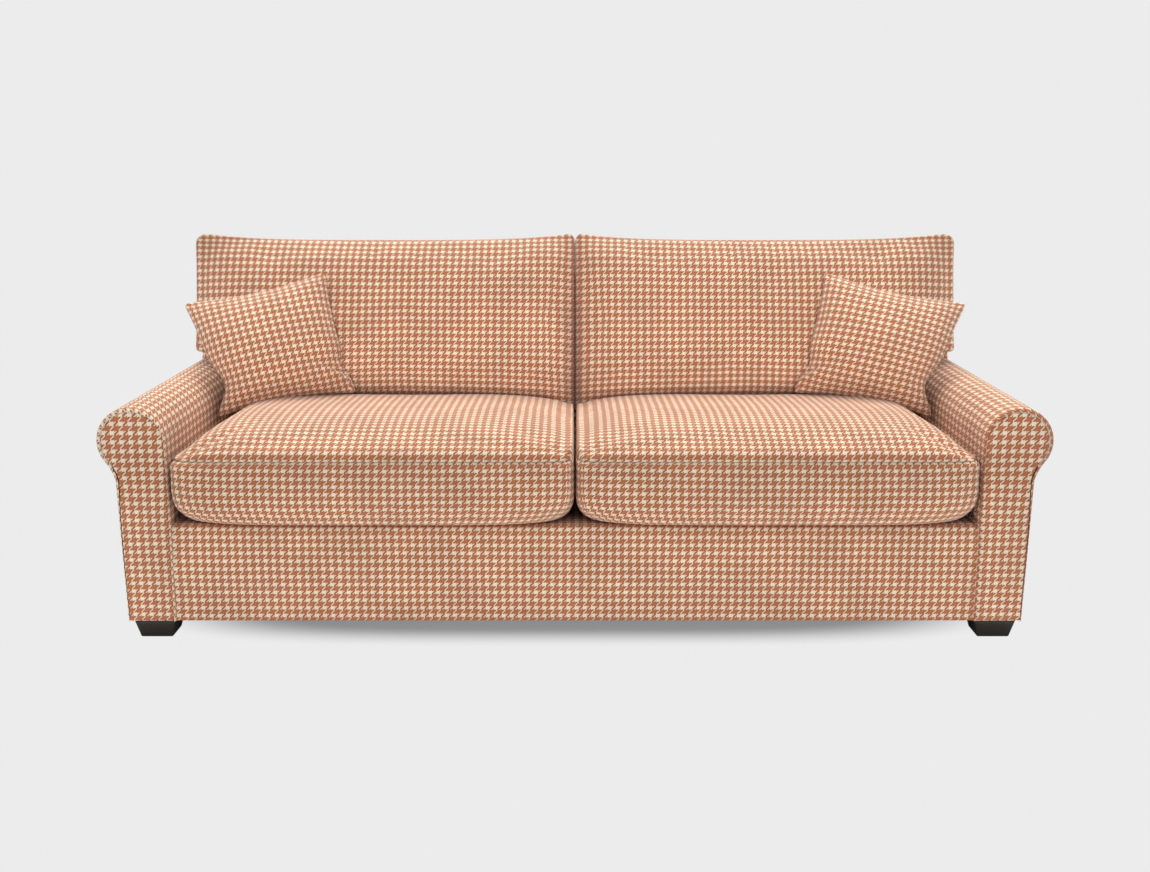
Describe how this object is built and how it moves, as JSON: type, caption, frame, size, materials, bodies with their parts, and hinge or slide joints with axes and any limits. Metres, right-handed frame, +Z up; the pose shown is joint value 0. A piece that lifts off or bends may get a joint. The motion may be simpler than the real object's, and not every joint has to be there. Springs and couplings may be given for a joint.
{
  "type": "four-seater sofa",
  "caption": "Long roll-arm sofa with loose seat, back and scatter cushions in a two-colour houndstooth cloth, on low tapered wooden feet",
  "frame": {"origin": "on the floor, under the middle of the bounding box", "axes": "+X along the sofa to the right as seen from the front, +Y to the back of the sofa, +Z up; the front faces -Y"},
  "size_m": [2.3998, 1, 0.9832],
  "materials": {
    "cover_cloth": "matt woven houndstooth, terracotta and cream",
    "dust_cloth": "matt black non-woven",
    "filling": "soft wadding over foam",
    "webbing": "woven jute",
    "foot_wood": "dark brown stain, satin",
    "frame_wood": "sawn softwood",
    "lining_board": "bent fibreboard",
    "steel": "zinc plated",
    "plastic": "moulded"
  },
  "bodies": {
    "frame": {"front_left_foot": "foot_wood", "front_right_foot": "foot_wood", "rear_left_foot": "foot_wood", "rear_right_foot": "foot_wood", "support_foot": "foot_wood", "foot_glides": "plastic", "hanger_bolts": "steel", "t_nuts": "steel", "front_seat_rail": "frame_wood", "rear_seat_rail": "frame_wood", "left_side_rail": "frame_wood", "right_side_rail": "frame_wood", "centre_seat_rail": "frame_wood", "rear_bottom_rail": "frame_wood", "corner_blocks": "frame_wood", "block_screws": "steel", "seat_springs": "steel", "spring_clips": "plastic", "deck_pad": "filling", "deck_cloth": "cover_cloth", "front_edge_roll": "filling", "base_front_cover": "cover_cloth", "dust_cover": "dust_cloth", "left_arm_front_board": "frame_wood", "right_arm_front_board": "frame_wood", "left_arm_top_rail": "frame_wood", "right_arm_top_rail": "frame_wood", "left_arm_lining": "lining_board", "right_arm_lining": "lining_board", "left_arm_padding": "filling", "right_arm_padding": "filling", "left_inside_arm_cover": "cover_cloth", "right_inside_arm_cover": "cover_cloth", "left_outside_arm_cover": "cover_cloth", "right_outside_arm_cover": "cover_cloth", "left_arm_facing": "cover_cloth", "right_arm_facing": "cover_cloth", "left_back_post": "frame_wood", "right_back_post": "frame_wood", "centre_back_post": "frame_wood", "back_lower_rail": "frame_wood", "back_top_rail": "frame_wood", "back_webbing": "webbing", "back_padding": "filling", "inside_back_cover": "cover_cloth", "outside_back_cover": "cover_cloth"},
    "left_seat": {"left_seat_cover": "cover_cloth", "left_seat_core": "filling", "left_seat_zip": "plastic"},
    "right_seat": {"right_seat_cover": "cover_cloth", "right_seat_core": "filling", "right_seat_zip": "plastic"},
    "left_back": {"left_back_cushion": "cover_cloth", "left_back_core": "filling"},
    "right_back": {"right_back_cushion": "cover_cloth", "right_back_core": "filling"},
    "left_scatter": {"left_scatter_cushion": "cover_cloth", "left_scatter_core": "filling"},
    "right_scatter": {"right_scatter_cushion": "cover_cloth", "right_scatter_core": "filling"}
  },
  "joints": [
    {"name": "left_seat_pull", "type": "slide", "parent": "frame", "child": "left_seat", "axis": [0, -0.9986, 0.0523], "range_m": [0, 0.6]},
    {"name": "right_seat_pull", "type": "slide", "parent": "frame", "child": "right_seat", "axis": [0, -0.9986, 0.0523], "range_m": [0, 0.6]},
    {"name": "left_back_lift", "type": "slide", "parent": "frame", "child": "left_back", "axis": [0, 0.1736, 0.9848], "range_m": [0, 0.4]},
    {"name": "right_back_lift", "type": "slide", "parent": "frame", "child": "right_back", "axis": [0, 0.1736, 0.9848], "range_m": [0, 0.4]},
    {"name": "left_scatter_lift", "type": "slide", "parent": "frame", "child": "left_scatter", "axis": [0, -0.5, 0.866], "range_m": [0, 0.3]},
    {"name": "right_scatter_lift", "type": "slide", "parent": "frame", "child": "right_scatter", "axis": [0, -0.5, 0.866], "range_m": [0, 0.3]}
  ]
}
